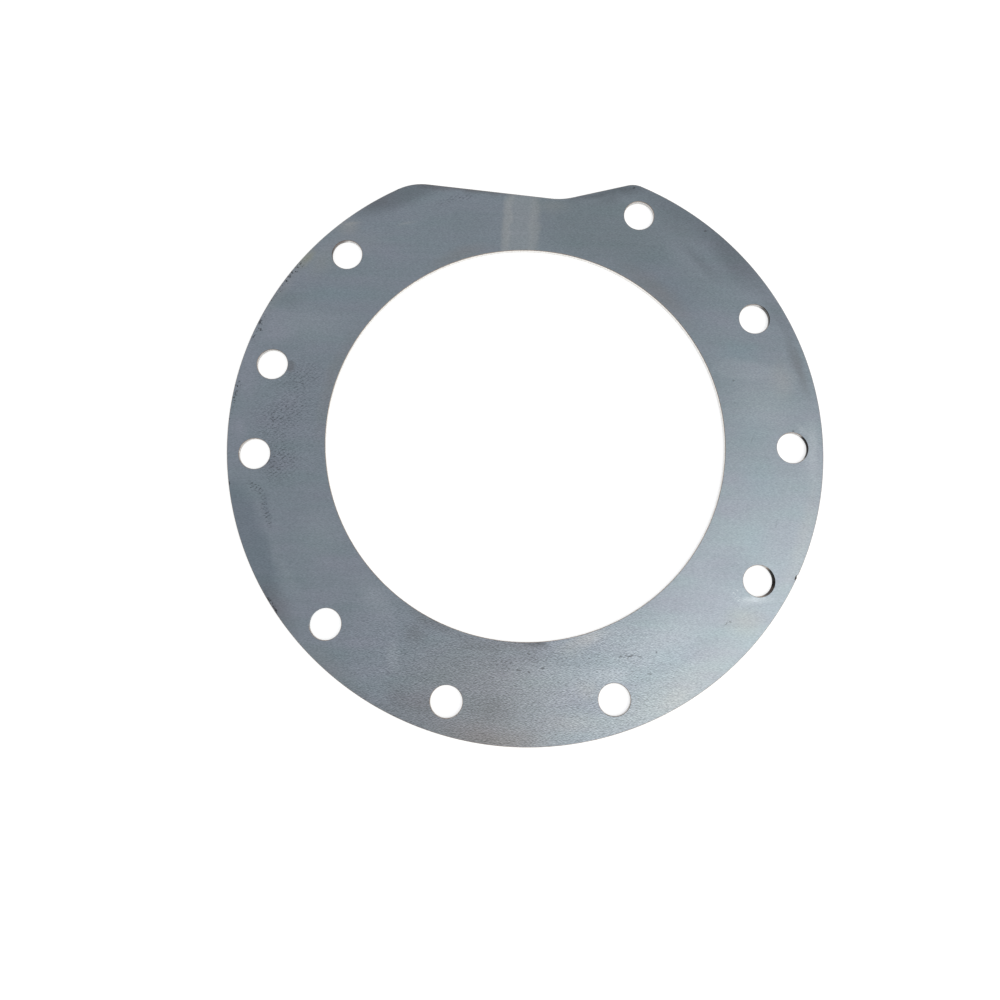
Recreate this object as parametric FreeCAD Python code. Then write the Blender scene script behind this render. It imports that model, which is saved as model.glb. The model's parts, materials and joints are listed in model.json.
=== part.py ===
import FreeCAD, Part
import math
import os

# Adjustment shim: one flat ring cut from cold-rolled steel sheet. It goes over the spigot of a
# housing and is clamped under its flange by ten bolts, and its thickness sets where the housing
# sits. A shallow V is cut out of the rim, to clear what stands beside the flange. It is one solid
# with nothing that moves.
#
# Lengths are in millimetres. Directions are in degrees, anticlockwise from +X seen from above.
# The origin is the centre of the bore on the lower face, and +Z points up through the sheet.

# Sheet and ring
sheet_thickness = 2.0
bore_diameter = 181.0
ring_width = 44.5

# What deburring takes off each edge of both faces, at 45 degrees
edge_chamfer = 0.2

# Bolt holes, set in from the rim, in the directions of the flange's bolts
bolt_hole_diameter = 14.0
bolt_inset = 14.0
bolt_directions = [0.0, 30.0, 65.0, 135.0, 165.0, 225.0, 255.0, 290.0, 330.0]

# The tenth bolt hole is a little nearer to the rim than the others
offset_bolt_inset = 12.5
offset_bolt_direction = 185.0

# The V is two flats: the direction that each one faces, and its depth below the rim's circle
long_flat_direction = 85.0
long_flat_depth = 17.6
short_flat_direction = 105.0
short_flat_depth = 26.2

# The round at the foot of the V, and those where its flats run out into the rim
valley_radius = 30.0
long_flat_corner_radius = 25.0
short_flat_corner_radius = 10.0

# Worked out from the sizes above
bore_radius = bore_diameter / 2
rim_radius = bore_radius + ring_width
bolt_hole_radius = bolt_hole_diameter / 2

# A cutting tool runs one thickness past each face of the sheet
tool_foot = -sheet_thickness
tool_height = 3 * sheet_thickness

UP = FreeCAD.Vector(0, 0, 1)
CENTRE = FreeCAD.Vector(0, 0, 0)


def drill(inset, direction):
    """The round tool for a bolt hole, this far in from the rim and in this direction."""
    angle = math.radians(direction)
    distance = rim_radius - inset
    foot = FreeCAD.Vector(distance * math.cos(angle), distance * math.sin(angle), tool_foot)
    return Part.makeCylinder(bolt_hole_radius, tool_height, foot, UP)


def beyond_flat(direction, depth):
    """All that lies outside a flat that faces this direction, at this depth below the rim."""
    corner = FreeCAD.Vector(rim_radius - depth, -2 * rim_radius, tool_foot)
    block = Part.makeBox(2 * rim_radius, 4 * rim_radius, tool_height, corner)
    block.rotate(CENTRE, UP, direction)
    return block


def upright_corners(blank):
    """The edges that stand straight up through the sheet, by direction, with no cylinder's seam."""
    corners = []
    for edge in blank.Edges:
        upright = edge.BoundBox.ZLength > 0.999 * edge.Length
        if upright and not edge.isSeam(blank.ancestorsOfType(edge, Part.Face)[0]):
            corners.append(edge)
    return sorted(corners, key=lambda edge: math.atan2(edge.CenterOfMass.y, edge.CenterOfMass.x))


def v_blank():
    """The disc with the V cut out of its rim, and with its valley and both corners rounded."""
    disc = Part.makeCylinder(rim_radius, sheet_thickness, CENTRE, UP)
    beyond_long = beyond_flat(long_flat_direction, long_flat_depth)
    beyond_short = beyond_flat(short_flat_direction, short_flat_depth)
    blank = disc.cut(beyond_long.common(beyond_short))
    blank = blank.makeFillet(valley_radius, [upright_corners(blank)[1]])
    blank = blank.makeFillet(long_flat_corner_radius, [upright_corners(blank)[-1]])
    return blank.makeFillet(short_flat_corner_radius, [upright_corners(blank)[0]])


def bore():
    """The round tool for the bore in the middle, which goes over the spigot."""
    return Part.makeCylinder(bore_radius, tool_height, FreeCAD.Vector(0, 0, tool_foot), UP)


def face_edges(plate):
    """Every edge of the lower and the upper face."""
    flat_faces = [face for face in plate.Faces if abs(face.normalAt(0, 0).z) > 0.999]
    return [edge for face in flat_faces for edge in face.Edges]


def shim_plate():
    """The finished shim."""
    bolt_holes = [drill(bolt_inset, direction) for direction in bolt_directions]
    bolt_holes.append(drill(offset_bolt_inset, offset_bolt_direction))
    plate = v_blank().cut(bolt_holes + [bore()])
    return plate.makeChamfer(edge_chamfer, face_edges(plate)).Solids[0]


os.makedirs("parts", exist_ok=True)
shim = shim_plate()
shim.exportStep("parts/shim_plate.step")
print("shim_plate", shim.ShapeType, "valid", shim.isValid(), "faces", len(shim.Faces), "mm3", round(shim.Volume))
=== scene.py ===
import json
import logging
import math
from collections.abc import Iterable
from dataclasses import dataclass, field
from enum import Enum, IntEnum
from typing import Any

import bpy
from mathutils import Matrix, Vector


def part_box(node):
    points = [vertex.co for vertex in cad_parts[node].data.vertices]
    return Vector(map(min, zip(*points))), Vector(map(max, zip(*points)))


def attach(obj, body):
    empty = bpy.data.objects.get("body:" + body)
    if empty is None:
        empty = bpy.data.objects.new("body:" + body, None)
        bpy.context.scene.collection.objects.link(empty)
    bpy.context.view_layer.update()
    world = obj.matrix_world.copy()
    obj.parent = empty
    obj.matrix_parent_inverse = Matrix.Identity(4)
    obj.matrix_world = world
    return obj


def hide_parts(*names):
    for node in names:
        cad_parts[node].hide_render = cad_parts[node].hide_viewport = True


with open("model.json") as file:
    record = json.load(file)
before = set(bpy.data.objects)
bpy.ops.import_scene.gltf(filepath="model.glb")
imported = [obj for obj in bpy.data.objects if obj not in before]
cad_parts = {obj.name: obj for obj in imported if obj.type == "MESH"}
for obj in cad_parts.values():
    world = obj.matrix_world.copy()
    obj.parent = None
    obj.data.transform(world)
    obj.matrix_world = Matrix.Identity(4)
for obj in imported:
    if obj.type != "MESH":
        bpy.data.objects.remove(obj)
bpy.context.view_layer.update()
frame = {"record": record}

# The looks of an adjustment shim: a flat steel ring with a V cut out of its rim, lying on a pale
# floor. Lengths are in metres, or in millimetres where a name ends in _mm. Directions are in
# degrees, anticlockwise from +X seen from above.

NODE = "shim_plate"
MM = 0.001

log = logging.getLogger("shim")

# Turns a stretched pattern out of line with the sheet, because a noise is plain along its own axes
OBLIQUE = (0.9, 0.6, 0.3)

# Nearly all of a noise's values lie in this span, which a Map Range node stretches
NOISE_SPAN = {"From Min": 0.3, "From Max": 0.7}

# Sockets of the Mix node when it mixes colours, which share their names with its other kinds
MIX_A = 6
MIX_B = 7
MIX_RESULT = 2

# The same sizes as in the part's source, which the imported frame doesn't give
LONG_FLAT_DIRECTION = 85.0
LONG_FLAT_DEPTH = 17.6 * MM
SHORT_FLAT_DIRECTION = 105.0
SHORT_FLAT_DEPTH = 26.2 * MM

# How many straight sides a round hole is drawn with
BORE_SIDES = 540
BOLT_HOLE_SIDES = 96


def linear(colour: str) -> tuple[float, float, float, float]:
    """Turn an sRGB colour into the linear one that a shader takes.

    Args:
        colour: The colour as six hex digits after a hash sign.

    Returns:
        Red, green, blue and an alpha of 1.
    """
    levels = [int(colour[i : i + 2], 16) / 255 for i in (1, 3, 5)]
    red, green, blue = (v / 12.92 if v <= 0.04045 else ((v + 0.055) / 1.055) ** 2.4 for v in levels)
    return red, green, blue, 1.0


def add_node(
    tree: bpy.types.NodeTree, kind: str, inputs: dict[Any, Any] | None = None, **settings: Any
) -> bpy.types.Node:
    """Add one node with its settings and links.

    Args:
        tree: The node tree that gets it.
        kind: Blender's name for the kind of node.
        inputs: A value, or another node's output, for each input by name or number.
        settings: The node's own properties.

    Returns:
        The new node.
    """
    node = tree.nodes.new(kind)
    for name, value in settings.items():
        setattr(node, name, value)
    for key, value in (inputs or {}).items():
        if isinstance(value, bpy.types.NodeSocket):
            tree.links.new(value, node.inputs[key])
        else:
            node.inputs[key].default_value = value
    return node


def polar(radius: float, direction: float, height: float = 0.0) -> Vector:
    """Give the point at a radius and a direction in degrees, at a height."""
    angle = math.radians(direction)
    return Vector((radius * math.cos(angle), radius * math.sin(angle), height))


def direction_of(point: Vector) -> float:
    """Give a point's direction from the bore's axis, from 0 up to 360 degrees."""
    return math.degrees(math.atan2(point.y, point.x)) % 360


class Skin(IntEnum):
    """The plate's surfaces, numbered as its material slots are."""

    UPPER_FACE = 0
    LOWER_FACE = 1
    CUT_EDGE = 2
    BOLT_HOLE_WALL = 3
    EDGE_BREAK = 4
    BORE_WALL = 5


class Turn(Enum):
    """Which way round an arc is drawn, seen from above."""

    ANTICLOCKWISE = 1
    CLOCKWISE = -1


@dataclass(frozen=True)
class Hole:
    """A round hole: its centre, radius and number of sides, and how far its lower end stands aside."""

    centre: Vector
    radius: float
    sides: int
    lean: Vector


# The bolt hole at 330 degrees shows more of its wall than the others do
LEANING_HOLES = {"bolt_hole_330": Vector((-0.6 * MM, 0.2 * MM, 0.0))}


@dataclass(frozen=True)
class Flat:
    """One flat of the V: the direction that it faces and its distance from the bore's axis."""

    direction: float
    distance: float

    @property
    def normal(self) -> Vector:
        """The way that the flat faces."""
        return polar(1.0, self.direction)


@dataclass(frozen=True)
class Nick:
    """A small dent in the rim's edge: its direction, its width and its depth."""

    direction: float
    width_mm: float
    depth_mm: float


@dataclass
class ShimPlate:
    """The ring itself, one sheet with a bore, ten bolt holes and a V in its rim.

    The rim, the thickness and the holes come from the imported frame, and the V's sizes from above. The
    sheet's two faces have normals at least as upright as face_tilt, and its walls at most wall_tilt.
    """

    rim_radius: float
    thickness: float
    bore: Hole
    bolt_holes: list[Hole]
    long_flat: Flat
    short_flat: Flat
    valley_radius: float = 30.0 * MM
    long_corner_radius: float = 25.0 * MM
    short_corner_radius: float = 10.0 * MM
    edge_break: float = 0.2 * MM
    edge_margin: float = 1.0 * MM
    rim_step: float = 0.5
    corner_steps: int = 14
    break_steps: int = 3
    face_tilt: float = 0.99
    wall_tilt: float = 0.1
    sharp_angle: float = 80.0
    smooth_angle: float = 35.0
    merge_distance: float = 0.001 * MM
    nicks: list[Nick] = field(default_factory=list)

    @classmethod
    def from_frame(cls, nicks: list[Nick]) -> "ShimPlate":
        """Take the plate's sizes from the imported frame.

        Args:
            nicks: The small dents in its rim.

        Returns:
            The plate, not yet built.
        """
        low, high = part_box(NODE)
        rim_radius = min(high[0], -low[0], -low[1])
        mounts = {mount["name"]: mount for mount in frame["record"]["mounts"]}
        bolt_holes = []
        for name, mount in mounts.items():
            if name.startswith("bolt_hole_"):
                x, y, _ = mount["pos_m"]
                lean = LEANING_HOLES.get(name, Vector())
                radius = mount["dims"]["r_mm"] * MM
                bolt_holes.append(Hole(Vector((x, y, 0.0)), radius, BOLT_HOLE_SIDES, lean))
        return cls(
            rim_radius=rim_radius,
            thickness=high[2] - low[2],
            bore=Hole(Vector(), mounts["centre_bore"]["dims"]["r_mm"] * MM, BORE_SIDES, Vector()),
            bolt_holes=bolt_holes,
            long_flat=Flat(LONG_FLAT_DIRECTION, rim_radius - LONG_FLAT_DEPTH),
            short_flat=Flat(SHORT_FLAT_DIRECTION, rim_radius - SHORT_FLAT_DEPTH),
            nicks=nicks,
        )

    def valley_centre(self) -> Vector:
        """Work out where the round at the foot of the V is centred, outside both flats.

        Returns:
            The centre.
        """
        ahead, beside = self.long_flat.normal, self.short_flat.normal
        reach_a = self.long_flat.distance + self.valley_radius
        reach_b = self.short_flat.distance + self.valley_radius
        cross = ahead.x * beside.y - ahead.y * beside.x
        x = (reach_a * beside.y - reach_b * ahead.y) / cross
        y = (reach_b * ahead.x - reach_a * beside.x) / cross
        return Vector((x, y, 0.0))

    def corner_centre(self, flat: Flat, radius: float, turn: Turn) -> Vector:
        """Give the centre of the round where a flat runs out into the rim.

        Args:
            flat: The flat.
            radius: The corner's radius.
            turn: The way round from the flat's middle to the corner.

        Returns:
            The centre, which lies in the metal.
        """
        out = flat.distance - radius
        along = math.sqrt((self.rim_radius - radius) ** 2 - out**2)
        side = Vector((-flat.normal.y, flat.normal.x, 0.0)) * turn.value
        return flat.normal * out + side * along

    def draw_arc(self, centre: Vector, degrees: float, steps: int, turn: Turn) -> None:
        """Spin the selected vertex round a centre, which leaves the arc's last vertex selected."""
        angle = math.radians(degrees) * turn.value
        bpy.ops.mesh.spin(steps=steps, angle=-angle, center=centre, axis=(0.0, 0.0, 1.0))

    def draw_line(self, start: Vector, end: Vector) -> None:
        """Extrude the selected vertex from one point to another."""
        bpy.ops.mesh.extrude_vertices_move(TRANSFORM_OT_translate={"value": end - start})

    def draw_rim_stretch(self, start: float, end: float) -> None:
        """Draw a plain stretch of the rim anticlockwise between two directions."""
        steps = max(1, round((end - start) / self.rim_step))
        self.draw_arc(Vector(), end - start, steps, Turn.ANTICLOCKWISE)

    def draw_rim(self, start: float, end: float) -> None:
        """Draw the rim anticlockwise between two directions, with its nicks.

        Args:
            start: The direction of the selected vertex.
            end: The direction at which the rim stops.
        """
        at = start
        for nick in sorted(self.nicks, key=lambda nick: (nick.direction - start) % 360):
            half = math.degrees(nick.width_mm * MM / 2 / self.rim_radius)
            first = start + (nick.direction - start) % 360 - half
            self.draw_rim_stretch(at, first)
            # The nick's floor is as long as the middle part of its mouth
            mouth = [polar(self.rim_radius, first + share * half) for share in (0.0, 0.7, 1.3, 2.0)]
            depth = nick.depth_mm * MM
            floor = [point - point.normalized() * depth for point in mouth[1:3]]
            corners = [mouth[0], *floor, mouth[3]]
            for one, other in zip(corners, corners[1:]):
                self.draw_line(one, other)
            at = first + 2 * half
        self.draw_rim_stretch(at, end)

    def draw_outline(self) -> bpy.types.Object:
        """Draw the rim, its two corners, the flats and the valley as one closed line.

        Returns:
            The object, in edit mode.
        """
        long_corner = self.corner_centre(self.long_flat, self.long_corner_radius, Turn.ANTICLOCKWISE)
        short_corner = self.corner_centre(self.short_flat, self.short_corner_radius, Turn.CLOCKWISE)
        valley = self.valley_centre()
        rim_start = direction_of(long_corner)
        rim_end = direction_of(short_corner) + 360
        start = polar(self.rim_radius, rim_start)
        bpy.ops.mesh.primitive_plane_add(size=self.edge_margin, location=start)
        plate = bpy.context.object
        bpy.ops.object.mode_set(mode="EDIT")
        bpy.ops.mesh.select_all(action="SELECT")
        bpy.ops.mesh.merge(type="CENTER")
        self.draw_rim(rim_start, rim_end)
        sweep = self.short_flat.direction + 360 - rim_end
        self.draw_arc(short_corner, sweep, self.corner_steps, Turn.ANTICLOCKWISE)
        flat_start = short_corner + self.short_flat.normal * self.short_corner_radius
        flat_end = valley - self.short_flat.normal * self.valley_radius
        self.draw_line(flat_start, flat_end)
        sweep = self.short_flat.direction - self.long_flat.direction
        self.draw_arc(valley, sweep, self.corner_steps, Turn.CLOCKWISE)
        flat_start = valley - self.long_flat.normal * self.valley_radius
        flat_end = long_corner + self.long_flat.normal * self.long_corner_radius
        self.draw_line(flat_start, flat_end)
        sweep = rim_start - self.long_flat.direction
        self.draw_arc(long_corner, sweep, self.corner_steps, Turn.ANTICLOCKWISE)
        bpy.ops.mesh.select_all(action="SELECT")
        bpy.ops.mesh.remove_doubles(threshold=self.merge_distance)
        return plate

    def draw_holes(self) -> None:
        """Draw the bore and the bolt holes in the same mesh."""
        for hole in [self.bore, *self.bolt_holes]:
            bpy.ops.mesh.primitive_circle_add(
                vertices=hole.sides, radius=hole.radius, fill_type="NOTHING", location=hole.centre
            )

    def raise_sheet(self) -> None:
        """Fill the outline round its holes, and extrude it to the sheet's thickness."""
        bpy.ops.mesh.select_all(action="SELECT")
        bpy.ops.mesh.fill(use_beauty=True)
        bpy.ops.mesh.select_all(action="SELECT")
        bpy.ops.mesh.inset(thickness=self.edge_margin, use_boundary=True, use_even_offset=True)
        bpy.ops.mesh.select_all(action="SELECT")
        bpy.ops.mesh.extrude_region_move(TRANSFORM_OT_translate={"value": (0.0, 0.0, self.thickness)})
        bpy.ops.mesh.select_all(action="SELECT")
        bpy.ops.mesh.normals_make_consistent(inside=False)

    def break_edges(self) -> None:
        """Round off the sharp edges of both faces, as deburring does."""
        bpy.ops.mesh.select_all(action="DESELECT")
        bpy.ops.mesh.select_mode(type="EDGE")
        bpy.ops.mesh.edges_select_sharp(sharpness=math.radians(self.sharp_angle))
        bpy.ops.mesh.bevel(
            offset=self.edge_break, offset_type="OFFSET", segments=self.break_steps, profile=0.5
        )
        bpy.ops.mesh.select_all(action="DESELECT")

    def lean_holes(self, plate: bpy.types.Object) -> None:
        """Push the lower end of a hole aside where it was cut out of square.

        Args:
            plate: The plate's object, in edit mode with nothing selected.
        """
        bpy.ops.mesh.select_mode(type="VERT")
        for hole in self.bolt_holes:
            if hole.lean.length == 0.0:
                continue
            # The hole with its edge break, and a little to spare
            reach = hole.radius + 1.1 * self.edge_break
            bpy.ops.object.mode_set(mode="OBJECT")
            for corner in plate.data.vertices:
                place = corner.co + plate.location
                near = (place.xy - hole.centre.xy).length < reach
                corner.select = near and place.z < self.thickness / 2
            bpy.ops.object.mode_set(mode="EDIT")
            bpy.ops.transform.translate(value=hole.lean)
            bpy.ops.mesh.select_all(action="DESELECT")

    def skin_of(self, face: bpy.types.MeshPolygon) -> Skin:
        """Tell which of the plate's surfaces a face belongs to.

        Args:
            face: The face.

        Returns:
            The surface.
        """
        if face.normal.z > self.face_tilt:
            return Skin.UPPER_FACE
        if face.normal.z < -self.face_tilt:
            return Skin.LOWER_FACE
        if abs(face.normal.z) > self.wall_tilt:
            return Skin.EDGE_BREAK
        for hole in self.bolt_holes:
            if (face.center.xy - hole.centre.xy).length < hole.radius + self.edge_margin:
                return Skin.BOLT_HOLE_WALL
        if face.center.xy.length < self.bore.radius + self.edge_margin:
            return Skin.BORE_WALL
        return Skin.CUT_EDGE

    def build(self) -> bpy.types.Object:
        """Make the plate's mesh.

        Returns:
            The finished object, at the origin, with its place in its mesh.
        """
        bpy.ops.object.select_all(action="DESELECT")
        plate = self.draw_outline()
        self.draw_holes()
        self.raise_sheet()
        self.break_edges()
        self.lean_holes(plate)
        bpy.ops.object.mode_set(mode="OBJECT")
        bpy.ops.object.transform_apply(location=True, rotation=True, scale=True)
        plate.name = plate.data.name = "steel_shim"
        bpy.ops.object.shade_smooth_by_angle(angle=math.radians(self.smooth_angle))
        return plate

    def dress(self, plate: bpy.types.Object, finishes: dict[Skin, bpy.types.Material]) -> None:
        """Give each surface its finish, and shade the two faces flat.

        Args:
            plate: The plate's object.
            finishes: A material for each surface.
        """
        for skin in Skin:
            plate.data.materials.append(finishes[skin])
        for face in plate.data.polygons:
            skin = self.skin_of(face)
            face.material_index = skin
            face.use_smooth = skin not in (Skin.UPPER_FACE, Skin.LOWER_FACE)


class Stain(Enum):
    """What lies on the steel, as the colour that the steel takes where it is thickest."""

    OIL = "#5b5f64"
    SLATE = "#66727d"
    MOSS = "#6f7d7c"
    TEAL = "#819ca2"
    VIOLET = "#a3a3b0"
    BLOOM = "#b2b9bf"
    RESIDUE = "#c6c4bd"
    SAND = "#b0aca5"
    OLIVE = "#a8a690"
    RUST = "#8d7f75"
    UMBER = "#5e5450"
    # Soot, and also the colour of painted shade on the hole walls and of painted shadow along the rim
    SOOT = "#1d1a18"


class Texture(Enum):
    """How a mark is broken up."""

    SMOOTH = "smooth"
    GRAINY = "grainy"
    DASHED = "dashed"
    SPECKLED = "speckled"


@dataclass(frozen=True)
class Mark:
    """A stain or a rubbed place, an oval that fades out towards its rim.

    A straight mark's place, half length and half width are millimetres, and its turn is the direction
    of its length. A bent mark follows the shim's rim: its place is a direction and a radius, and its
    half length is an angle.
    """

    stain: Stain
    place: tuple[float, float]
    reach: tuple[float, float]
    strength: float
    turn: float = 0.0
    fade: float = 1.0
    texture: Texture = Texture.SMOOTH
    bent: bool = False


def speck(
    place: tuple[float, float], reach: tuple[float, float], strength: float, bent: bool = False
) -> Mark:
    """Give a small dark speck or dash, which has a firmer edge than a stain."""
    return Mark(Stain.SOOT, place, reach, strength, fade=0.6, bent=bent)


@dataclass(frozen=True)
class Ground:
    """What the marks on one material share: where a point is, and the patterns that break them up."""

    flat: bpy.types.NodeSocket
    bent: bpy.types.NodeSocket
    patterns: dict[Texture, bpy.types.NodeSocket]

    # Directions on a bent mark run from here, at the V, so that no mark crosses the join
    join: float = 95.0

    # The marks' outlines wander in waves about 8 mm long
    wave_scale: float = 0.12

    @classmethod
    def prepare(cls, tree: bpy.types.NodeTree, wobble_mm: float) -> "Ground":
        """Work out the coordinates and the patterns.

        Args:
            tree: The material's node tree.
            wobble_mm: How far the marks' outlines wander.

        Returns:
            The sockets that the marks read.
        """
        place = add_node(tree, "ShaderNodeTexCoord").outputs["Object"]
        scale = (1 / MM, 1 / MM, 0.0)
        exact = add_node(tree, "ShaderNodeMapping", {"Vector": place, "Scale": scale}).outputs["Vector"]
        inputs = {"Vector": exact, "Scale": cls.wave_scale, "Detail": 4.0}
        waves = add_node(tree, "ShaderNodeTexNoise", inputs)
        centred = add_node(
            tree,
            "ShaderNodeVectorMath",
            {0: waves.outputs["Color"], 1: (0.5, 0.5, 0.5)},
            operation="SUBTRACT",
        )
        # A noise seldom strays further than a quarter from its middle
        sway = 4 * wobble_mm
        moved = add_node(
            tree,
            "ShaderNodeVectorMath",
            {0: centred.outputs[0], 1: (sway, sway, 0.0), 2: exact},
            operation="MULTIPLY_ADD",
        )
        flat = moved.outputs[0]
        turn = (0.0, 0.0, math.radians(180 - cls.join))
        turned = add_node(tree, "ShaderNodeMapping", {"Vector": flat, "Rotation": turn})
        split = add_node(tree, "ShaderNodeSeparateXYZ", {"Vector": turned.outputs["Vector"]})
        radians = add_node(
            tree, "ShaderNodeMath", {0: split.outputs["Y"], 1: split.outputs["X"]}, operation="ARCTAN2"
        )
        direction = add_node(
            tree,
            "ShaderNodeMath",
            {0: radians.outputs[0], 1: 180 / math.pi, 2: 180 + cls.join},
            operation="MULTIPLY_ADD",
        )
        radius = add_node(tree, "ShaderNodeVectorMath", {0: flat}, operation="LENGTH")
        bent = add_node(
            tree, "ShaderNodeCombineXYZ", {"X": direction.outputs[0], "Y": radius.outputs["Value"]}
        )
        return cls(flat, bent.outputs[0], cls.draw_patterns(tree, exact))

    @staticmethod
    def draw_patterns(
        tree: bpy.types.NodeTree, exact: bpy.types.NodeSocket
    ) -> dict[Texture, bpy.types.NodeSocket]:
        """Make the patterns that break up the marks.

        Args:
            tree: The material's node tree.
            exact: A point's place in millimetres.

        Returns:
            A factor from 0 to 1 for each pattern.
        """
        # Streaky grit along the rolling direction, 1.2 mm long
        grit_scale = (0.8, 2.2, 1.0)
        grit_floor = 0.55
        grit_place = add_node(
            tree, "ShaderNodeMapping", {"Vector": exact, "Scale": grit_scale, "Rotation": OBLIQUE}
        )
        grit = add_node(
            tree,
            "ShaderNodeTexNoise",
            {"Vector": grit_place.outputs["Vector"], "Scale": 1.0, "Detail": 2.0},
        )
        grainy = add_node(
            tree,
            "ShaderNodeMapRange",
            {"Value": grit.outputs["Fac"], **NOISE_SPAN, "To Min": grit_floor},
        )

        # Short dashes, 1 mm long, that stand in slanting rows. They show where a noise and a little of
        # the rows' wave come past a threshold.
        dash_scale = (1.0, 3.4, 1.0)
        dash_threshold = {"From Min": 0.62, "From Max": 0.71}
        row_gap_mm = 1.5
        row_share = 0.13
        row_slant = (0.0, 0.0, math.radians(48))
        dash_place = add_node(
            tree, "ShaderNodeMapping", {"Vector": exact, "Scale": dash_scale, "Rotation": OBLIQUE}
        )
        dash = add_node(
            tree,
            "ShaderNodeTexNoise",
            {"Vector": dash_place.outputs["Vector"], "Scale": 1.0, "Detail": 1.0},
        )
        rows = add_node(tree, "ShaderNodeMapping", {"Vector": exact, "Rotation": row_slant})
        # A wave of scale 1 has a crest every pi / 10
        crests = {"Scale": math.pi / 10 / row_gap_mm, "Distortion": 1.0, "Detail": 1.0}
        wave = add_node(tree, "ShaderNodeTexWave", {"Vector": rows.outputs["Vector"], **crests})
        both = add_node(
            tree,
            "ShaderNodeMath",
            {0: wave.outputs["Fac"], 1: row_share, 2: dash.outputs["Fac"]},
            operation="MULTIPLY_ADD",
        )
        dashed = add_node(tree, "ShaderNodeMapRange", {"Value": both.outputs[0], **dash_threshold})

        # Ragged specks about 1 mm across
        ragged_threshold = {"From Min": 0.56, "From Max": 0.64}
        ragged = add_node(tree, "ShaderNodeTexNoise", {"Vector": exact, "Scale": 0.9, "Detail": 3.0})
        inputs = {"Value": ragged.outputs["Fac"], **ragged_threshold}
        speckled = add_node(tree, "ShaderNodeMapRange", inputs)
        return {
            Texture.GRAINY: grainy.outputs["Result"],
            Texture.DASHED: dashed.outputs["Result"],
            Texture.SPECKLED: speckled.outputs["Result"],
        }

    def cover(self, tree: bpy.types.NodeTree, mark: Mark) -> bpy.types.NodeSocket:
        """Work out how much of the steel a mark covers.

        Args:
            tree: The material's node tree.
            mark: The mark.

        Returns:
            A factor from 0 to the mark's strength.
        """
        along, across = mark.place
        if mark.bent and along < self.join:
            along += 360
        oval = add_node(
            tree,
            "ShaderNodeMapping",
            {
                "Vector": self.bent if mark.bent else self.flat,
                "Location": (along, across, 0.0),
                "Rotation": (0.0, 0.0, math.radians(mark.turn)),
                "Scale": (*mark.reach, 1.0),
            },
            vector_type="TEXTURE",
        )
        ball = add_node(
            tree, "ShaderNodeTexGradient", {"Vector": oval.outputs["Vector"]}, gradient_type="SPHERICAL"
        )
        soft = add_node(
            tree,
            "ShaderNodeMapRange",
            {"Value": ball.outputs["Fac"], "From Max": mark.fade, "To Max": mark.strength},
            interpolation_type="SMOOTHSTEP",
        )
        if mark.texture not in self.patterns:
            return soft.outputs["Result"]
        factors = {0: soft.outputs["Result"], 1: self.patterns[mark.texture]}
        return add_node(tree, "ShaderNodeMath", factors, operation="MULTIPLY").outputs[0]

    def lay(
        self, tree: bpy.types.NodeTree, marks: Iterable[Mark], colour: bpy.types.NodeSocket
    ) -> bpy.types.NodeSocket:
        """Lay marks over a colour, one after another.

        Args:
            tree: The material's node tree.
            marks: The marks, from the lowest to the topmost.
            colour: The colour under them.

        Returns:
            The colour with its marks.
        """
        for mark in marks:
            inputs = {0: self.cover(tree, mark), MIX_A: colour, MIX_B: linear(mark.stain.value)}
            colour = add_node(tree, "ShaderNodeMix", inputs, data_type="RGBA").outputs[MIX_RESULT]
        return colour


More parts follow.
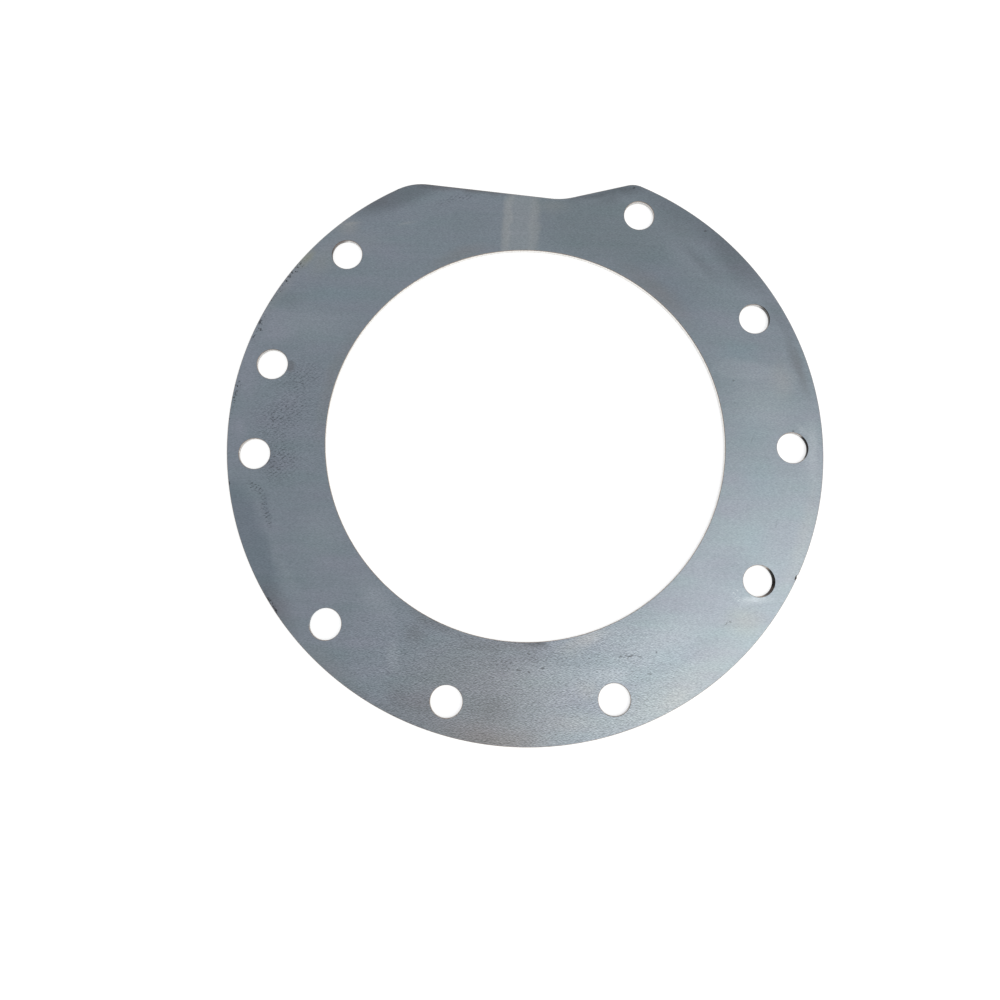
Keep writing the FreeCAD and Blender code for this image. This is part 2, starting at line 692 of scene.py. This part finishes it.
@dataclass(frozen=True)
class RolledFace:
    """Cold-rolled mild steel sheet, as the mill left it: a satin blue-grey with fine flecks of grain
    drawn out along the rolling direction, and the marks of oil, rust and handling, with some painted
    light and shade among them.

    Its clouds are slow changes of tint and gloss, and its lines are long faint bands. Where light is
    painted on the grain, its contrast is raised and a contrary fleck stands beside each fleck as a painted
    highlight and shade, at the offset and with the share given here.
    """

    name: str = "cold_rolled_steel_sheet"
    cool: str = "#8b969d"
    warm: str = "#9096a0"
    roughness: float = 0.36
    wobble_mm: float = 1.2
    cloud_length_mm: float = 30.0
    cloud_width_mm: float = 9.0
    line_length_mm: float = 35.0
    line_width_mm: float = 1.1
    grain_length_mm: float = 1.0
    grain_width_mm: float = 0.2
    grain_depth_mm: float = 0.004
    grain_contrast: float = 0.92
    line_contrast: float = 0.02
    cloud_gloss: float = 0.02
    contrary_offset_mm: float = 0.45
    contrary_share: float = 0.18
    marks: tuple[Mark, ...] = ()
    grain_light_places: tuple[Mark, ...] = ()

    def noise(
        self, tree: bpy.types.NodeTree, place: bpy.types.NodeSocket, length_mm: float, width_mm: float
    ) -> bpy.types.NodeSocket:
        """Add a noise drawn out along the rolling direction.

        Args:
            tree: The material's node tree.
            place: A point's place in metres.
            length_mm: The length of its flecks.
            width_mm: Their width.

        Returns:
            The noise, from 0 to 1.
        """
        scale = (1 / (length_mm * MM), 1 / (width_mm * MM), 1 / MM)
        along = add_node(
            tree, "ShaderNodeMapping", {"Vector": place, "Scale": scale, "Rotation": OBLIQUE}
        )
        inputs = {"Vector": along.outputs["Vector"], "Scale": 1.0, "Detail": 2.0}
        return add_node(tree, "ShaderNodeTexNoise", inputs).outputs["Fac"]

    def grain_lighting(self, tree: bpy.types.NodeTree, ground: Ground) -> bpy.types.NodeSocket | float:
        """Find how much light is painted on the grain at a point, as raised contrast and painted
        highlights and shade.

        Args:
            tree: The material's node tree.
            ground: The places the marks are measured from.

        Returns:
            The contrast to add to the grain's own, 0 where no light is painted on it.
        """
        grain_light: bpy.types.NodeSocket | float = 0.0
        for mark in self.grain_light_places:
            inputs = {0: ground.cover(tree, mark), 1: grain_light}
            grain_light = add_node(tree, "ShaderNodeMath", inputs, operation="ADD").outputs[0]
        return grain_light

    def fleck_shade(
        self,
        tree: bpy.types.NodeTree,
        place: bpy.types.NodeSocket,
        grain: bpy.types.NodeSocket,
        grain_light: bpy.types.NodeSocket | float,
    ) -> bpy.types.NodeSocket:
        """Shade the flecks of the grain. Where light is painted on it, each fleck has a faint contrary one
        beside it as a painted highlight and shade, because light gives a groove a bright and a dark side.

        Args:
            tree: The material's node tree.
            place: A point's place in metres.
            grain: The grain's noise there, from 0 to 1.
            grain_light: How much light is painted on the grain there.

        Returns:
            The brightness of the steel there, about 1.
        """
        step = (0.0, self.contrary_offset_mm * MM, 0.0)
        beside = add_node(tree, "ShaderNodeVectorMath", {0: place, 1: step}, operation="ADD").outputs[0]
        contrary = self.noise(tree, beside, self.grain_length_mm, self.grain_width_mm)
        fleck, other = (
            add_node(tree, "ShaderNodeMath", {0: noise, 1: 0.5}, operation="SUBTRACT").outputs[0]
            for noise in (grain, contrary)
        )
        inputs = {0: grain_light, 1: -self.contrary_share}
        share = add_node(tree, "ShaderNodeMath", inputs, operation="MULTIPLY").outputs[0]
        inputs = {0: other, 1: share, 2: fleck}
        sided = add_node(tree, "ShaderNodeMath", inputs, operation="MULTIPLY_ADD").outputs[0]
        inputs = {0: grain_light, 1: self.grain_contrast}
        contrast = add_node(tree, "ShaderNodeMath", inputs, operation="ADD").outputs[0]
        inputs = {0: sided, 1: contrast, 2: 1.0}
        return add_node(tree, "ShaderNodeMath", inputs, operation="MULTIPLY_ADD").outputs[0]

    def make(self) -> bpy.types.Material:
        """Build the material.

        Returns:
            The material.
        """
        material = bpy.data.materials.new(self.name)
        material.use_nodes = True
        tree = material.node_tree
        shader = tree.nodes["Principled BSDF"]
        shader.inputs["Metallic"].default_value = 1.0
        place = add_node(tree, "ShaderNodeTexCoord").outputs["Object"]
        ground = Ground.prepare(tree, self.wobble_mm)
        cloud = self.noise(tree, place, self.cloud_length_mm, self.cloud_width_mm)
        patchy = add_node(tree, "ShaderNodeMapRange", {"Value": cloud, **NOISE_SPAN})
        tint = add_node(
            tree,
            "ShaderNodeMix",
            {0: patchy.outputs["Result"], MIX_A: linear(self.cool), MIX_B: linear(self.warm)},
            data_type="RGBA",
        )
        stained = ground.lay(tree, self.marks, tint.outputs[MIX_RESULT])

        # Real grain is finer than a pixel, so it is drawn as coarse as it needs to show
        grain = self.noise(tree, place, self.grain_length_mm, self.grain_width_mm)
        # The grain is real; its raised contrast in some places, and the contrary flecks, are painted light
        # and shade
        flecks = self.fleck_shade(tree, place, grain, self.grain_lighting(tree, ground))
        lines = self.noise(tree, place, self.line_length_mm, self.line_width_mm)
        levels = {"To Min": 1.0 - self.line_contrast, "To Max": 1.0 + self.line_contrast}
        faint = add_node(tree, "ShaderNodeMapRange", {"Value": lines, **NOISE_SPAN, **levels})
        inputs = {0: flecks, 1: faint.outputs["Result"]}
        shade = add_node(tree, "ShaderNodeMath", inputs, operation="MULTIPLY")
        inputs = {0: stained, 1: shade.outputs[0]}
        toned = add_node(tree, "ShaderNodeVectorMath", inputs, operation="MULTIPLY")
        tree.links.new(toned.outputs[0], shader.inputs["Base Color"])
        levels = {"To Min": self.roughness - self.cloud_gloss, "To Max": self.roughness + self.cloud_gloss}
        rough = add_node(tree, "ShaderNodeMapRange", {"Value": cloud, **NOISE_SPAN, **levels})
        tree.links.new(rough.outputs["Result"], shader.inputs["Roughness"])
        inputs = {"Height": grain, "Distance": self.grain_depth_mm * MM, "Strength": 1.0}
        bump = add_node(tree, "ShaderNodeBump", inputs)
        tree.links.new(bump.outputs["Normal"], shader.inputs["Normal"])
        return material


@dataclass(frozen=True)
class CutEdge:
    """A cut edge of the same steel: brighter than the face, with fine lines across the thickness, and
    darkened with painted shade on one side of some of the holes. In the bore, which was turned, it is
    nearly white.
    """

    name: str = "cut_steel_edge"
    dull: str = "#b6b5b4"
    bright: str = "#d2d0ce"
    roughness: float = 0.4
    wobble_mm: float = 0.3
    line_mm: float = 0.4
    line_depth_mm: float = 0.01
    line_strength: float = 0.5
    marks: tuple[Mark, ...] = ()

    def make(self) -> bpy.types.Material:
        """Build the material.

        Returns:
            The material.
        """
        material = bpy.data.materials.new(self.name)
        material.use_nodes = True
        tree = material.node_tree
        shader = tree.nodes["Principled BSDF"]
        shader.inputs["Metallic"].default_value = 1.0
        ground = Ground.prepare(tree, self.wobble_mm)
        inputs = {"Vector": ground.flat, "Scale": 1 / self.line_mm, "Detail": 2.0}
        lines = add_node(tree, "ShaderNodeTexNoise", inputs).outputs["Fac"]
        # The lines are crisper than the noise that they come from
        crisp = {"From Min": 0.35, "From Max": 0.65}
        streaky = add_node(tree, "ShaderNodeMapRange", {"Value": lines, **crisp})
        tint = add_node(
            tree,
            "ShaderNodeMix",
            {0: streaky.outputs["Result"], MIX_A: linear(self.dull), MIX_B: linear(self.bright)},
            data_type="RGBA",
        )
        colour = ground.lay(tree, self.marks, tint.outputs[MIX_RESULT])
        tree.links.new(colour, shader.inputs["Base Color"])
        shader.inputs["Roughness"].default_value = self.roughness
        depth = self.line_depth_mm * MM
        inputs = {"Height": lines, "Distance": depth, "Strength": self.line_strength}
        bump = add_node(tree, "ShaderNodeBump", inputs)
        tree.links.new(bump.outputs["Normal"], shader.inputs["Normal"])
        return material


# The marks on the upper face, from the broad ones to the small ones

BROAD_MARKS = (
    # Right of the pale streaks the steel is darker and a little green: partly stains, partly painted shade
    Mark(Stain.MOSS, (34, 105), (54, 30), 0.34, turn=-15, fade=0.7),
    Mark(Stain.OIL, (57, 135), (17, 14), 0.32, fade=0.8, bent=True),
    Mark(Stain.OIL, (43, 134), (12, 16), 0.42, fade=0.8, bent=True),
    Mark(Stain.UMBER, (55, 124), (8, 5), 0.08, bent=True),
    Mark(Stain.VIOLET, (74, 88), (16, 9), 0.20, turn=-45),
    Mark(Stain.OIL, (80, 88), (20, 5), 0.26, turn=-44),
    Mark(Stain.RUST, (50, 94), (18, 8), 0.26, bent=True),
    Mark(Stain.MOSS, (46, 112), (10, 10), 0.14, bent=True),
    Mark(Stain.SLATE, (49, 99), (22, 18), 0.20, bent=True),
    # Right-hand side
    Mark(Stain.TEAL, (97, 44), (16, 8), 0.30),
    Mark(Stain.BLOOM, (100, 36), (18, 6), 0.14, fade=0.4),
    Mark(Stain.SAND, (117, 32), (9, 14), 0.20),
    Mark(Stain.BLOOM, (108, 20), (24, 24), 0.22),
    Mark(Stain.UMBER, (17, 130.6), (9, 4.2), 0.30, bent=True),
    Mark(Stain.OIL, (28, 132), (11, 6), 0.22, bent=True),
    Mark(Stain.TEAL, (103, 8), (14, 14), 0.18),
    Mark(Stain.TEAL, (106, -16), (14, 16), 0.22),
    Mark(Stain.TEAL, (103, -43), (10, 12), 0.16),
    Mark(Stain.SLATE, (94, -56), (17, 13), 0.14),
    Mark(Stain.BLOOM, (130, -2), (7, 24), 0.22),
    Mark(Stain.SAND, (342, 132), (18, 6), 0.14, bent=True),
    # Lower right
    Mark(Stain.SAND, (300, 130), (26, 14), 0.16, bent=True),
    Mark(Stain.BLOOM, (58, -90), (36, 13), 0.18, turn=25),
    Mark(Stain.TEAL, (66, -94), (17, 8), 0.13, turn=12),
    Mark(Stain.MOSS, (84, -86), (18, 4), 0.08, turn=42),
    Mark(Stain.OLIVE, (98, -78), (14, 9), 0.16),
    Mark(Stain.SAND, (68, -113), (14, 6), 0.14, turn=35),
    Mark(Stain.RESIDUE, (30, -88), (13, 5), 0.26, turn=20),
    Mark(Stain.BLOOM, (40, -86), (18, 7), 0.14, turn=25),
    # Along the bottom it is brown, most of all towards the rim
    Mark(Stain.RUST, (-18, -114), (54, 36), 0.20, fade=0.8),
    Mark(Stain.RUST, (266, 134), (17, 13), 0.34, bent=True),
    Mark(Stain.UMBER, (262, 133), (14, 9), 0.16, bent=True),
    Mark(Stain.UMBER, (-12, -120), (14, 9), 0.18),
    Mark(Stain.UMBER, (-42, -119), (14, 9), 0.22),
    Mark(Stain.UMBER, (244, 135), (16, 5), 0.20, bent=True),
    Mark(Stain.UMBER, (-14, -92), (20, 6), 0.18),
    Mark(Stain.UMBER, (5, -95), (14, 5), 0.08),
    Mark(Stain.UMBER, (-46, -88), (8, 8), 0.22),
    Mark(Stain.UMBER, (245, 92), (14, 4), 0.26, bent=True),
    Mark(Stain.UMBER, (-53, -116), (9, 9), 0.18),
    Mark(Stain.BLOOM, (12, -108), (30, 17), 0.20),
    Mark(Stain.BLOOM, (30, -106), (14, 10), 0.10),
    Mark(Stain.SAND, (22, -124), (20, 7), 0.16),
    Mark(Stain.RESIDUE, (21, -93), (10, 5), 0.12),
    Mark(Stain.SAND, (30, -110), (9, 6), 0.16),
    # Lower left: paler and bluer up to a straight edge
    Mark(Stain.VIOLET, (-64, -92), (13, 26), 0.14, fade=0.35),
    Mark(Stain.BLOOM, (-55, -98), (4, 9), 0.20, fade=0.6),
    Mark(Stain.BLOOM, (-64, -74), (18, 9), 0.18, turn=-45),
    Mark(Stain.VIOLET, (-85, -64), (15, 15), 0.10),
    Mark(Stain.RUST, (-84, -104), (26, 9), 0.12, turn=-32),
    Mark(Stain.SLATE, (203, 134), (15, 12.5), 0.38, fade=0.4, bent=True),
    Mark(Stain.UMBER, (216, 134), (9, 9), 0.30, bent=True),
    Mark(Stain.SLATE, (197, 120), (5, 2), 0.25, bent=True),
    Mark(Stain.BLOOM, (212, 122), (9, 3.0), 0.10, bent=True),
    Mark(Stain.BLOOM, (-90, -46), (16, 18), 0.14),
    # Left-hand side, paler: partly stains, partly painted light
    Mark(Stain.VIOLET, (-130, 1), (6, 9), 0.32),
    Mark(Stain.VIOLET, (-128, 29), (10, 26), 0.32),
    Mark(Stain.BLOOM, (-103, 51), (34, 13), 0.20),
    Mark(Stain.VIOLET, (-117, 46), (15, 9), 0.36),
    Mark(Stain.TEAL, (-88, 66), (22, 8), 0.22),
    Mark(Stain.MOSS, (-112, 63), (10, 7), 0.22),
    Mark(Stain.VIOLET, (-108, 15), (9, 6), 0.20),
    Mark(Stain.RUST, (165, 92.5), (26, 6), 0.16, bent=True),
    # Upper left
    Mark(Stain.OIL, (117, 134), (14, 10.5), 0.42, fade=0.6, bent=True),
    Mark(Stain.UMBER, (123, 134), (6, 5), 0.16, bent=True),
    Mark(Stain.MOSS, (-28, 104), (26, 14), 0.12),
    Mark(Stain.SAND, (-86, 100), (9, 6), 0.28),
    Mark(Stain.OLIVE, (-105, 83), (8, 4), 0.50, turn=50),
    Mark(Stain.SAND, (149, 134), (13, 5), 0.14, bent=True),
    Mark(Stain.SAND, (-97, 82), (14, 9), 0.20, turn=45),
    Mark(Stain.SAND, (-84, 92), (22, 9), 0.10),
    Mark(Stain.RUST, (110, 93), (14, 6), 0.20, bent=True),
)

SMALL_MARKS = (
    # Two pale streaks across the narrow part
    Mark(Stain.BLOOM, (-4.5, 104), (34, 9), 0.20, turn=87, fade=0.5),
    Mark(Stain.SAND, (-4.5, 104), (34, 11), 0.14, turn=87, fade=0.5),
    Mark(Stain.RESIDUE, (-10.9, 104), (40, 3.0), 0.24, turn=85.5, fade=0.7, texture=Texture.GRAINY),
    Mark(Stain.RESIDUE, (1.9, 104), (40, 3.6), 0.16, turn=87, fade=0.7, texture=Texture.GRAINY),
    Mark(Stain.SAND, (10, 113), (12, 6), 0.16),
    # Dark edges of the V's flats
    Mark(Stain.UMBER, (-30, 120.4), (36, 3.2), 0.50, turn=-5),
    Mark(Stain.OIL, (33, 120.3), (24, 3.0), 0.46, turn=15),
    Mark(Stain.OIL, (46, 123), (13, 4.5), 0.44),
    Mark(Stain.OIL, (38, 118), (10, 3.5), 0.24, turn=15),
    # Rows of dark dashes on the left, and the trail below them
    Mark(Stain.SOOT, (-103, 25), (15, 9), 0.46, turn=25, fade=0.8, texture=Texture.DASHED),
    Mark(Stain.SOOT, (-110, 7), (21, 12), 0.48, turn=35, fade=0.8, texture=Texture.DASHED),
    Mark(Stain.SOOT, (-111, -13), (12, 16), 0.52, fade=0.8, texture=Texture.DASHED),
    Mark(Stain.OIL, (-116, -13), (6, 8), 0.22),
    Mark(Stain.SOOT, (-120.8, -26.5), (6, 2.2), 0.7, turn=-30, fade=0.6, texture=Texture.DASHED),
    Mark(Stain.SOOT, (-115.4, -36), (12, 2.6), 0.65, turn=-70, fade=0.7, texture=Texture.DASHED),
    Mark(Stain.SOOT, (-35, 115), (17, 3.2), 0.5, turn=15, texture=Texture.DASHED),
    # Smudges
    Mark(Stain.UMBER, (-108.2, 30.5), (3.6, 3.6), 0.34, fade=0.7),
    Mark(Stain.OIL, (6.5, -91), (8, 1.8), 0.6, fade=0.8),
    Mark(Stain.UMBER, (2, -92), (14, 3.2), 0.18, fade=0.8),
    Mark(Stain.BLOOM, (40, -103.5), (12, 5), 0.32),
    Mark(Stain.BLOOM, (104, -69.3), (10, 3.0), 0.40, turn=5),
    Mark(Stain.BLOOM, (95.6, -67.6), (4.5, 2.4), 0.9, turn=-60, fade=0.6, texture=Texture.SPECKLED),
    Mark(Stain.BLOOM, (101, -69), (7, 1.6), 0.35, turn=-8, texture=Texture.GRAINY),
    Mark(Stain.BLOOM, (1, 130), (7, 4), 0.24, bent=True),
    Mark(Stain.BLOOM, (125.5, 8), (5, 2), 0.3, turn=-40),
    Mark(Stain.RESIDUE, (-84.5, 101.2), (6, 1.2), 0.26, turn=8),
    Mark(Stain.RESIDUE, (-58, 102), (7, 1.2), 0.14, turn=10),
    # Specks and single dashes
    Mark(Stain.SOOT, (48.9, 123.6), (0.8, 0.5), 0.6, fade=0.5),
    Mark(Stain.SOOT, (82.6, 102.3), (0.7, 0.5), 0.4, fade=0.5),
    Mark(Stain.SOOT, (95.2, 30.7), (0.7, 0.6), 0.35, fade=0.5),
    speck((121.3, 7.7), (0.7, 0.5), 0.5),
    Mark(Stain.SOOT, (6, -98), (16, 5), 0.35, texture=Texture.DASHED),
    Mark(Stain.SOOT, (-8, -100), (14, 5), 0.45, texture=Texture.DASHED),
    Mark(Stain.SOOT, (47.5, -94.6), (6, 2), 0.5, fade=0.6, texture=Texture.DASHED),
    speck((-0.7, -102.7), (1.3, 0.5), 0.55),
    speck((3.6, -102.8), (1.0, 0.5), 0.5),
    speck((3.7, -95.7), (1.0, 0.6), 0.5),
    speck((10.4, -101.5), (1.4, 0.4), 0.45),
    speck((44, -94.8), (1.4, 0.4), 0.5),
    speck((48.2, -95), (1.6, 0.5), 0.5),
    speck((52.5, -95.2), (1.2, 0.4), 0.45),
    Mark(Stain.SOOT, (10, -113), (60, 14), 0.20, texture=Texture.DASHED),
    speck((59.8, -92.6), (0.7, 0.5), 0.6),
    speck((57.0, -102.4), (1.4, 0.5), 0.4),
    Mark(Stain.SOOT, (90.5, -79), (3.0, 1.0), 0.6, turn=40, fade=0.6, texture=Texture.DASHED),
    Mark(Stain.OIL, (113, -34), (3, 0.5), 0.25, turn=78),
    Mark(Stain.OIL, (103, 3), (3, 0.5), 0.3, turn=60),
    Mark(Stain.SOOT, (121.3, -57.9), (1.7, 0.9), 0.95, turn=50, fade=0.4),
    # From here on, dark specks along the left of the rim: painted shadow at its edge
    Mark(Stain.SOOT, (146.5, 134), (7, 1.9), 1.0, fade=0.6, texture=Texture.SPECKLED, bent=True),
    Mark(Stain.SOOT, (151.9, 134), (2, 1.2), 0.9, fade=0.6, texture=Texture.SPECKLED, bent=True),
    Mark(Stain.SOOT, (158.4, 133.6), (4, 2.2), 1.0, fade=0.6, texture=Texture.SPECKLED, bent=True),
    Mark(Stain.SOOT, (172.7, 134.2), (4, 2), 1.0, fade=0.6, texture=Texture.SPECKLED, bent=True),
    Mark(Stain.SOOT, (177.2, 134.4), (2, 1.2), 0.9, fade=0.6, texture=Texture.SPECKLED, bent=True),
    speck((190.7, 134.6), (0.8, 0.5), 0.6, bent=True),
    speck((146.4, 133.6), (0.3, 0.6), 0.55, bent=True),
    speck((151.9, 134.3), (0.6, 0.4), 0.6, bent=True),
    speck((157.4, 134.2), (0.9, 0.5), 0.6, bent=True),
    speck((159.0, 133.2), (0.3, 0.6), 0.55, bent=True),
    speck((172.6, 134.0), (0.6, 0.4), 0.55, bent=True),
    speck((173.6, 134.3), (0.3, 0.6), 0.55, bent=True),
    speck((214.1, 134.0), (0.7, 0.4), 0.6, bent=True),
    speck((216.7, 134.2), (1.0, 0.5), 0.6, bent=True),
    Mark(Stain.SOOT, (215, 134.3), (3.5, 1.8), 0.8, fade=0.6, texture=Texture.SPECKLED, bent=True),
)

# Where light is painted on the grain, from faint at the top to strong at the bottom: its contrast is
# raised and its flecks get painted highlights and shade. Only how far these marks cover a point counts,
# not their stain.
GRAIN_LIGHT_PLACES = (
    Mark(Stain.SLATE, (-2, -112), (108, 62), 1.45, fade=0.6),
    Mark(Stain.SLATE, (-106, 8), (24, 44), 0.5, fade=0.6),
)

# The photograph doesn't show the underside. It has the same oil and rust, without the wear.
UNDERSIDE_MARKS = (
    Mark(Stain.OIL, (120, 132), (60, 12), 0.45, bent=True),
    Mark(Stain.SLATE, (215, 128), (45, 22), 0.50, bent=True),
    Mark(Stain.BLOOM, (300, 112), (40, 24), 0.45, bent=True),
    Mark(Stain.RUST, (20, 132), (36, 8), 0.55, bent=True),
    Mark(Stain.RUST, (255, 93), (40, 6), 0.50, bent=True),
    Mark(Stain.MOSS, (62, 108), (30, 22), 0.42, bent=True),
    Mark(Stain.SAND, (-20, 108), (34, 12), 0.34, turn=20),
    Mark(Stain.UMBER, (-70, -96), (16, 9), 0.50, turn=-40, texture=Texture.GRAINY),
    Mark(Stain.SOOT, (340, 128), (14, 6), 0.50, bent=True, texture=Texture.DASHED),
    Mark(Stain.UMBER, (170, 95), (16, 5), 0.40, bent=True, texture=Texture.GRAINY),
)

# Painted shade, dark and brownish, on the walls of the bolt holes, on the sides where the photograph shows
# them dark
WALL_SHADE_MARKS = (
    Mark(Stain.SOOT, (127.9, 0.8), (6.4, 6.4), 1.0, fade=0.3),
    Mark(Stain.SOOT, (111.4, 62.8), (6.5, 6.5), 0.8, fade=0.4),
    Mark(Stain.SOOT, (111.7, -61.5), (8.0, 8.0), 1.0, fade=0.3),
    Mark(Stain.UMBER, (110.2, -66), (4.5, 4.5), 0.5, fade=0.5),
    Mark(Stain.SLATE, (-90.6, -80.6), (8, 8), 0.85, fade=0.4),
    Mark(Stain.UMBER, (-91.7, 89.1), (8, 8), 0.8, fade=0.4),
    Mark(Stain.SOOT, (-92.6, 85.5), (3.5, 4), 0.6, fade=0.5),
)

# Painted shade along the upper edges of the holes with dark walls, and brown along some other edges
BREAK_BROWN_AND_SHADE_MARKS = WALL_SHADE_MARKS + (
    Mark(Stain.SOOT, (111.4, 62.8), (7, 7), 0.9, fade=0.3),
    Mark(Stain.UMBER, (106, 67.5), (5, 3), 0.7, fade=0.5),
    Mark(Stain.UMBER, (-89.8, 91.2), (8, 7), 0.8, fade=0.5),
    Mark(Stain.UMBER, (-120, 37.5), (8, 5), 0.5, fade=0.5),
    Mark(Stain.UMBER, (-30.7, -109.9), (4, 3), 0.9, fade=0.5),
    Mark(Stain.UMBER, (45, -119), (8, 8), 0.8, fade=0.5),
)


@dataclass
class Studio:
    """A pale floor, soft light and the photograph's viewpoint."""

    floor_size: float = 6.0
    floor_colour: str = "#c8c8c8"
    floor_lift: float = 0.58
    sky_colour: str = "#f9fcff"
    zenith_level: float = 0.65
    horizon_level: float = 1.0
    lamp_place: tuple[float, float, float] = (0.754, -0.425, 1.2)
    lamp_aim: tuple[float, float, float] = (0.03, -0.03, 0.0)
    lamp_colour: str = "#fffcf4"
    lamp_size: float = 1.2
    lamp_watts: float = 8.0
    camera_place_mm: tuple[float, float, float] = (-20.26, -75.44, 333.49)
    camera_tilt: float = 7.742
    camera_pan: float = -0.126
    camera_roll: float = 1.907
    focal_pixels: float = 747.6
    centre_pixels: tuple[float, float] = (476.65, 504.1)
    image_pixels: float = 1000.0
    sensor_mm: float = 36.0

    def lay_floor(self) -> bpy.types.Object:
        """Lay the floor under the shim.

        Returns:
            The floor, which shows white to the camera and in the metal, and keeps the shim's shadow.
        """
        bpy.ops.object.select_all(action="DESELECT")
        bpy.ops.mesh.primitive_plane_add(size=self.floor_size)
        floor = bpy.context.object
        floor.name = "floor"
        material = bpy.data.materials.new("white_paper")
        material.use_nodes = True
        tree = material.node_tree
        shader = tree.nodes["Principled BSDF"]
        shader.inputs["Base Color"].default_value = linear(self.floor_colour)
        shader.inputs["Roughness"].default_value = 1.0
        shader.inputs["Specular IOR Level"].default_value = 0.0
        path = add_node(tree, "ShaderNodeLightPath")
        seen = add_node(
            tree,
            "ShaderNodeMath",
            {0: path.outputs["Is Camera Ray"], 1: path.outputs["Is Glossy Ray"]},
            operation="MAXIMUM",
        )
        lift = add_node(
            tree, "ShaderNodeMath", {0: seen.outputs[0], 1: self.floor_lift}, operation="MULTIPLY"
        )
        shader.inputs["Emission Color"].default_value = (1.0, 1.0, 1.0, 1.0)
        tree.links.new(lift.outputs[0], shader.inputs["Emission Strength"])
        floor.data.materials.append(material)
        return floor

    def hang_sky(self) -> None:
        """Light the shim from all round, a little more from the sides than from straight above."""
        world = bpy.data.worlds.new("sky")
        bpy.context.scene.world = world
        world.use_nodes = True
        tree = world.node_tree
        background = tree.nodes["Background"]
        background.inputs["Color"].default_value = linear(self.sky_colour)
        place = add_node(tree, "ShaderNodeTexCoord").outputs["Generated"]
        height = add_node(tree, "ShaderNodeSeparateXYZ", {"Vector": place}).outputs["Z"]
        levels = {"Value": height, "To Min": self.horizon_level, "To Max": self.zenith_level}
        level = add_node(tree, "ShaderNodeMapRange", levels)
        tree.links.new(level.outputs["Result"], background.inputs["Strength"])

    def hang_lamp(self) -> None:
        """Hang the soft square lamp whose reflection brightens the shim's lower right."""
        place = Vector(self.lamp_place)
        bpy.ops.object.light_add(type="AREA", location=place)
        lamp = bpy.context.object
        lamp.name = "soft_lamp"
        lamp.data.size = self.lamp_size
        lamp.data.energy = self.lamp_watts
        lamp.data.color = linear(self.lamp_colour)[:3]
        lamp.rotation_mode = "QUATERNION"
        lamp.rotation_quaternion = (Vector(self.lamp_aim) - place).to_track_quat("-Z", "Y")

    def set_camera(self) -> None:
        """Put the camera where the photograph was taken from."""
        bpy.ops.object.camera_add(location=[value * MM for value in self.camera_place_mm])
        camera = bpy.context.object
        camera.name = "viewpoint"
        camera.rotation_mode = "YXZ"
        angles = (self.camera_tilt, self.camera_pan, self.camera_roll)
        camera.rotation_euler = [math.radians(angle) for angle in angles]
        camera.data.sensor_width = self.sensor_mm
        camera.data.lens = self.focal_pixels * self.sensor_mm / self.image_pixels
        camera.data.shift_x = 0.5 - self.centre_pixels[0] / self.image_pixels
        camera.data.shift_y = self.centre_pixels[1] / self.image_pixels - 0.5
        bpy.context.scene.camera = camera

    def build(self) -> None:
        """Set up the floor, the light and the camera."""
        self.lay_floor()
        self.hang_sky()
        self.hang_lamp()
        self.set_camera()
        bpy.context.scene.view_settings.view_transform = "Standard"


def main() -> None:
    """Build the shim and the studio, and report what was made."""
    logging.basicConfig(level=logging.INFO, format="%(name)s: %(message)s")
    nicks = [Nick(direction=334.6, width_mm=1.6, depth_mm=0.3)]
    shim = ShimPlate.from_frame(nicks)
    plate = shim.build()
    finishes = {
        Skin.UPPER_FACE: RolledFace(marks=BROAD_MARKS + SMALL_MARKS, grain_light_places=GRAIN_LIGHT_PLACES).make(),
        Skin.LOWER_FACE: RolledFace("cold_rolled_steel_underside", marks=UNDERSIDE_MARKS).make(),
        Skin.CUT_EDGE: CutEdge().make(),
        # The hole walls carry painted shade on their dark sides
        Skin.BOLT_HOLE_WALL: CutEdge(name="cut_hole_wall", marks=WALL_SHADE_MARKS).make(),
        # The edge breaks are a brown steel colour, with painted shade where their marks are dark
        Skin.EDGE_BREAK: CutEdge("brown_edge_break", "#7d6a5c", "#a39589", marks=BREAK_BROWN_AND_SHADE_MARKS).make(),
        Skin.BORE_WALL: CutEdge("turned_steel_bore", "#e0dedb", "#f2f0ed", roughness=0.3).make(),
    }
    shim.dress(plate, finishes)
    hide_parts(NODE)
    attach(plate, "root")
    log.info("%s: %d faces, %d corners", plate.name, len(plate.data.polygons), len(plate.data.vertices))
    Studio().build()


if __name__ == "__main__":
    main()
